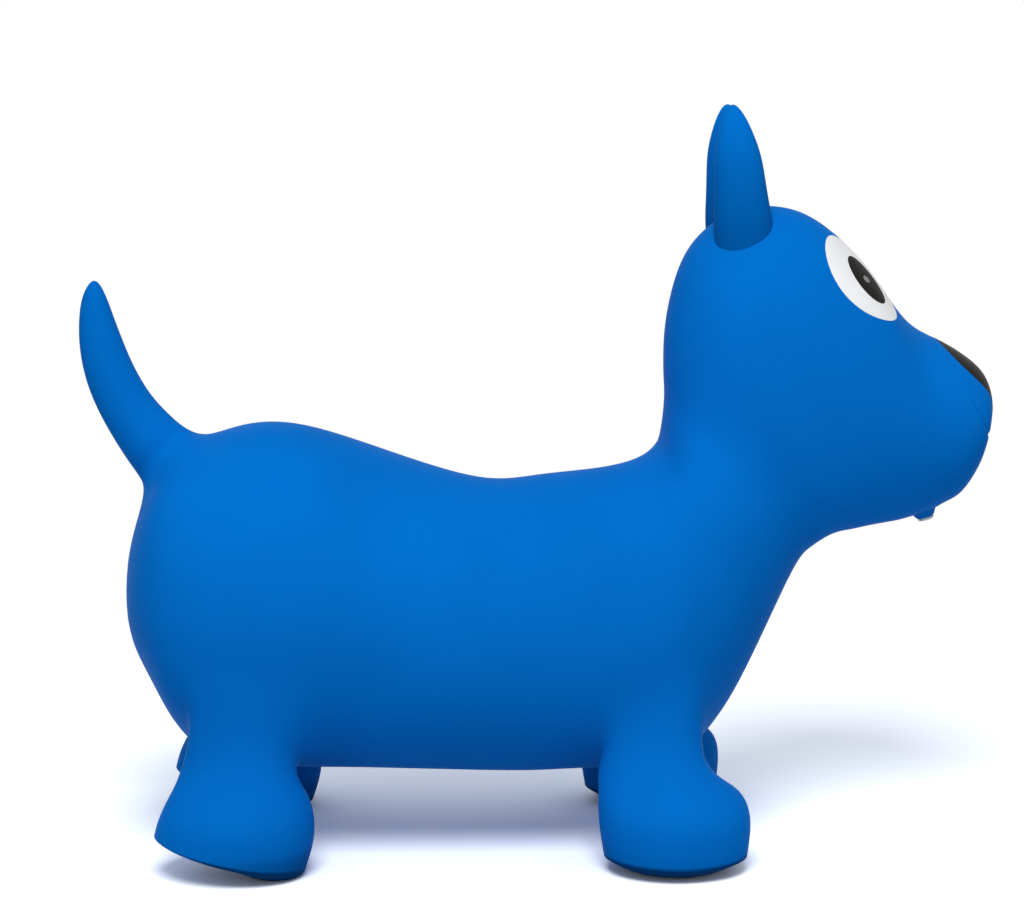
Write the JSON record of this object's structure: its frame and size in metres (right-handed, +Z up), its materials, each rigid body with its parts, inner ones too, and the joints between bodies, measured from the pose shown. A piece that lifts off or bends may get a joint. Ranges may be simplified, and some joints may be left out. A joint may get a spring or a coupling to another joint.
{
  "type": "bouncy ride-on animal",
  "caption": "Hollow moulded bouncy ride-on dog with stub feet, a saddle dip, upright ears to hold, a curved tail, painted eyes and nose, and a stoppered air valve under its chin.",
  "frame": {"origin": "on the floor under the middle of the overall length and width", "axes": "+X towards the muzzle, +Y to the dog's left, +Z up"},
  "size_m": [0.5989, 0.25, 0.4865],
  "materials": {
    "skin": "satin, very fine grain",
    "white_paint": "satin paint",
    "black_paint": "satin paint",
    "grey_paint": "satin paint",
    "clear_plug": "milky, translucent"
  },
  "bodies": {
    "trunk": {"trunk": "skin", "neck": "skin", "tail_root": "skin", "leg_front_left": "skin", "leg_front_right": "skin", "leg_rear_left": "skin", "leg_rear_right": "skin"},
    "head": {"head": "skin", "nose": "black_paint", "valve_seat": "skin", "ear_root_left": "skin", "ear_root_right": "skin", "eye_white_left": "white_paint", "eye_white_right": "white_paint", "pupil_left": "black_paint", "pupil_right": "black_paint", "eye_glint_left": "grey_paint", "eye_glint_right": "grey_paint"},
    "ear_left": {"ear_left": "skin"},
    "ear_right": {"ear_right": "skin"},
    "tail": {"tail": "skin"},
    "stopper": {"stopper": "clear_plug"},
    "foot_front_left": {"foot_front_left": "skin"},
    "foot_front_right": {"foot_front_right": "skin"},
    "foot_rear_left": {"foot_rear_left": "skin"},
    "foot_rear_right": {"foot_rear_right": "skin"}
  },
  "joints": [
    {"name": "neck_flex", "type": "hinge", "parent": "trunk", "child": "head", "pos_m": [0.1315, 0, 0.2335], "axis": [0, 1, 0], "range_deg": [-8, 8], "stiffness_Nm_per_rad": 40, "springref_deg": -0.46, "deforming": ["neck"]},
    {"name": "ear_flex_left", "type": "hinge", "parent": "head", "child": "ear_left", "pos_m": [0.1269, 0.02363, 0.4089], "axis": [0, 1, 0], "range_deg": [-18, 18], "stiffness_Nm_per_rad": 1, "deforming": ["ear_root_left"]},
    {"name": "ear_flex_right", "type": "hinge", "parent": "head", "child": "ear_right", "pos_m": [0.1269, -0.02363, 0.4089], "axis": [0, 1, 0], "range_deg": [-18, 18], "stiffness_Nm_per_rad": 1, "deforming": ["ear_root_right"]},
    {"name": "tail_flex", "type": "hinge", "parent": "trunk", "child": "tail", "pos_m": [-0.2442, 0, 0.2577], "axis": [0, 1, 0], "range_deg": [-20, 20], "stiffness_Nm_per_rad": 1.5, "springref_deg": 0.29, "deforming": ["tail_root"]},
    {"name": "foot_press_front_left", "type": "slide", "parent": "trunk", "child": "foot_front_left", "axis": [0, 0, 1], "range_m": [0, 0.012], "stiffness_N_per_m": 2000, "springref_m": -0.0026, "deforming": ["leg_front_left"]},
    {"name": "foot_press_front_right", "type": "slide", "parent": "trunk", "child": "foot_front_right", "axis": [0, 0, 1], "range_m": [0, 0.012], "stiffness_N_per_m": 2000, "springref_m": -0.0026, "deforming": ["leg_front_right"]},
    {"name": "foot_press_rear_left", "type": "slide", "parent": "trunk", "child": "foot_rear_left", "axis": [0, 0, 1], "range_m": [0, 0.012], "stiffness_N_per_m": 2000, "springref_m": -0.0016, "deforming": ["leg_rear_left"]},
    {"name": "foot_press_rear_right", "type": "slide", "parent": "trunk", "child": "foot_rear_right", "axis": [0, 0, 1], "range_m": [0, 0.012], "stiffness_N_per_m": 2000, "springref_m": -0.0016, "deforming": ["leg_rear_right"]},
    {"name": "stopper_pull", "type": "slide", "parent": "head", "child": "stopper", "axis": [0.3206, 0, -0.9472], "range_m": [0, 0.024]}
  ]
}
